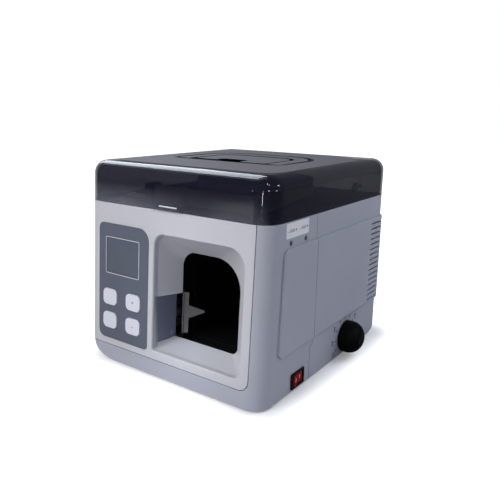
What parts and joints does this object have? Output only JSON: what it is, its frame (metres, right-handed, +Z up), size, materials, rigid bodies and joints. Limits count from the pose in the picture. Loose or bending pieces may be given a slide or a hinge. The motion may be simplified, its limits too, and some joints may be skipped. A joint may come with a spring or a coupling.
{
  "type": "banknote strapping machine",
  "caption": "Tabletop banknote strapping machine: leaning front with an arched work bin, screen and buttons, and a smoked hinged cover with a fold-up handle over a paper tape reel.",
  "frame": {"origin": "middle of the footprint on the counter, midway between the outermost sides", "axes": "+X to the right seen from the operator, +Y to the rear, +Z up"},
  "size_m": [0.3014, 0.314, 0.2515],
  "materials": {
    "case_grey": "fine matt texture",
    "fascia_grey": "satin",
    "overlay_grey": "matt film",
    "lcd_grey": "gloss",
    "button_grey": "satin",
    "smoked_cover": "smoked, polished",
    "panel_grey": "matt",
    "handle_grey": "satin",
    "black_plastic": "matt black",
    "tray_grey": "matt",
    "lens": "clear, gloss",
    "red_plastic": "gloss",
    "key_white": "satin",
    "steel": "ground",
    "white_acetal": "satin",
    "heater_metal": "machined",
    "motor_case": "semi-gloss",
    "roller_rubber": "matt",
    "board_green": "solder mask",
    "trimmer_brass": "turned",
    "transformer_iron": "varnished laminations",
    "core_card": "plain",
    "tape_paper": "plain kraft tape"
  },
  "bodies": {
    "case": {"front_shell": "case_grey", "rear_shell": "case_grey", "fascia": "fascia_grey", "base_plate": "steel", "rubber_feet": "roller_rubber", "case_screws": "steel", "control_panel": "overlay_grey", "lcd_screen": "lcd_grey", "control_board": "board_green", "tape_arch": "black_plastic", "bin_liner": "black_plastic", "bin_sensor": "lens", "hinge_pins": "steel", "tape_tray": "tray_grey", "guide_posts": "steel", "paper_tape": "tape_paper", "tape_inlet": "tray_grey", "key_housing": "black_plastic", "switch_housing": "black_plastic", "level_potentiometer": "black_plastic", "trimmer_board": "board_green", "mechanism_plate": "steel", "feed_motor": "motor_case", "cam_motor": "motor_case", "slider_guide": "white_acetal", "transformer": "transformer_iron", "main_board": "board_green", "power_inlet": "black_plastic"},
    "cover": {"top_cover": "smoked_cover", "cover_panel": "panel_grey", "handle_pins": "steel"},
    "handle": {"hand_handle": "handle_grey"},
    "tape_reel": {"reel_table": "tray_grey", "roll_core": "core_card", "tape_roll": "tape_paper"},
    "left_guide_roller": {"guide_sleeve_left": "white_acetal"},
    "right_guide_roller": {"guide_sleeve_right": "white_acetal"},
    "feed_key": {"feed_return_key": "key_white"},
    "rocker": {"power_rocker": "red_plastic"},
    "knob": {"level_knob": "black_plastic", "knob_shaft": "steel"},
    "front_trimmer": {"tension_trimmer_front": "trimmer_brass"},
    "rear_trimmer": {"tension_trimmer_rear": "trimmer_brass"},
    "upper_left_button": {"button_upper_left": "button_grey"},
    "plus_button": {"button_plus": "button_grey"},
    "lower_left_button": {"button_lower_left": "button_grey"},
    "minus_button": {"button_minus": "button_grey"},
    "tongue": {"weld_tongue": "steel"},
    "feed_drive": {"feed_pinion": "white_acetal"},
    "feed_roller": {"feed_shaft": "roller_rubber", "feed_gear": "white_acetal"},
    "pinch_lever": {"pinch_arm": "steel"},
    "idle_roller": {"pinch_roller": "roller_rubber"},
    "cam_drive": {"cam_pinion": "white_acetal"},
    "cams": {"cam_shaft": "steel", "cam_gear": "white_acetal"},
    "clamp": {"clamp_slider": "steel"},
    "heater": {"heater_slider": "heater_metal"},
    "cutter": {"cutter_slider": "steel"}
  },
  "joints": [
    {"name": "cover_hinge", "type": "hinge", "parent": "case", "child": "cover", "pos_m": [-0.01125, 0.1455, 0.2108], "axis": [-1, 0, 0], "range_deg": [0, 90]},
    {"name": "handle_hinge", "type": "hinge", "parent": "cover", "child": "handle", "pos_m": [-0.01125, -0.028, 0.24825], "axis": [1, 0, 0], "range_deg": [0, 100]},
    {"name": "reel_turn", "type": "hinge", "parent": "case", "child": "tape_reel", "pos_m": [-0.01125, 0.029, 0.206], "axis": [0, 0, 1], "continuous": true},
    {"name": "left_guide_turn", "type": "hinge", "parent": "case", "child": "left_guide_roller", "pos_m": [-0.01525, -0.111, 0.206], "axis": [0, 0, 1], "continuous": true},
    {"name": "right_guide_turn", "type": "hinge", "parent": "case", "child": "right_guide_roller", "pos_m": [0.08675, -0.111, 0.206], "axis": [0, 0, 1], "continuous": true},
    {"name": "feed_key_tilt", "type": "hinge", "parent": "case", "child": "feed_key", "pos_m": [-0.09325, -0.111, 0.2045], "axis": [0, 1, 0], "range_deg": [-7, 7], "stiffness_Nm_per_rad": 0.05},
    {"name": "power_rocker_tilt", "type": "hinge", "parent": "case", "child": "rocker", "pos_m": [0.12275, -0.08, 0.0145], "axis": [0, 0, -1], "range_deg": [0, 16]},
    {"name": "knob_turn", "type": "hinge", "parent": "case", "child": "knob", "pos_m": [0.12575, 0.043, 0.026], "axis": [1, 0, 0], "range_deg": [-135, 135]},
    {"name": "front_trimmer_turn", "type": "hinge", "parent": "case", "child": "front_trimmer", "pos_m": [0.11775, -0.1028, 0.1791], "axis": [1, 0, 0], "range_deg": [-135, 135]},
    {"name": "rear_trimmer_turn", "type": "hinge", "parent": "case", "child": "rear_trimmer", "pos_m": [0.11775, -0.0714, 0.1791], "axis": [1, 0, 0], "range_deg": [-135, 135]},
    {"name": "upper_left_button_press", "type": "slide", "parent": "case", "child": "upper_left_button", "axis": [0, 0.9976, -0.0698], "range_m": [0, 0.0008], "stiffness_N_per_m": 600},
    {"name": "plus_button_press", "type": "slide", "parent": "case", "child": "plus_button", "axis": [0, 0.9976, -0.0698], "range_m": [0, 0.0008], "stiffness_N_per_m": 600},
    {"name": "lower_left_button_press", "type": "slide", "parent": "case", "child": "lower_left_button", "axis": [0, 0.9976, -0.0698], "range_m": [0, 0.0008], "stiffness_N_per_m": 600},
    {"name": "minus_button_press", "type": "slide", "parent": "case", "child": "minus_button", "axis": [0, 0.9976, -0.0698], "range_m": [0, 0.0008], "stiffness_N_per_m": 600},
    {"name": "tongue_swing", "type": "hinge", "parent": "case", "child": "tongue", "pos_m": [-0.02775, -0.10112, 0.09207], "axis": [0, 0.0698, 0.9976], "range_deg": [0, 25], "stiffness_Nm_per_rad": 0.01},
    {"name": "feed_roller_turn", "type": "hinge", "parent": "case", "child": "feed_roller", "pos_m": [-0.07725, -0.09267, 0.14837], "axis": [0, 0.9976, -0.0698], "continuous": true},
    {"name": "feed_pinion_turn", "type": "hinge", "parent": "case", "child": "feed_drive", "pos_m": [-0.07725, -0.09416, 0.12707], "axis": [0, 0.9976, -0.0698], "continuous": true},
    {"name": "pinch_arm_swing", "type": "hinge", "parent": "case", "child": "pinch_lever", "pos_m": [-0.05125, -0.09127, 0.16832], "axis": [0, -0.9976, 0.0698], "range_deg": [0, 8], "stiffness_Nm_per_rad": 0.3},
    {"name": "idle_roller_turn", "type": "hinge", "parent": "pinch_lever", "child": "idle_roller", "pos_m": [-0.06465, -0.09267, 0.14837], "axis": [0, 0.9976, -0.0698], "continuous": true},
    {"name": "cam_turn", "type": "hinge", "parent": "case", "child": "cams", "pos_m": [-0.10125, -0.09853, 0.06457], "axis": [0, 0.9976, -0.0698], "range_deg": [0, 180]},
    {"name": "cam_pinion_turn", "type": "hinge", "parent": "case", "child": "cam_drive", "pos_m": [-0.10125, -0.10023, 0.04028], "axis": [0, 0.9976, -0.0698], "range_deg": [-540, 0]},
    {"name": "clamp_slide", "type": "slide", "parent": "case", "child": "clamp", "axis": [1, 0, 0], "range_m": [0, 0.006]},
    {"name": "heater_slide", "type": "slide", "parent": "case", "child": "heater", "axis": [1, 0, 0], "range_m": [0, 0.006]},
    {"name": "cutter_slide", "type": "slide", "parent": "case", "child": "cutter", "axis": [1, 0, 0], "range_m": [0, 0.006]}
  ],
  "couplings": [
    {"joint": "feed_pinion_turn", "follows": "feed_roller_turn", "ratio": -2.5},
    {"joint": "idle_roller_turn", "follows": "feed_roller_turn", "ratio": -1},
    {"joint": "cam_pinion_turn", "follows": "cam_turn", "ratio": -3},
    {"joint": "clamp_slide", "follows": "cam_turn", "m_per_rad": 0.0019099},
    {"joint": "heater_slide", "follows": "cam_turn", "m_per_rad": 0.0019099},
    {"joint": "cutter_slide", "follows": "cam_turn", "m_per_rad": 0.0019099}
  ]
}
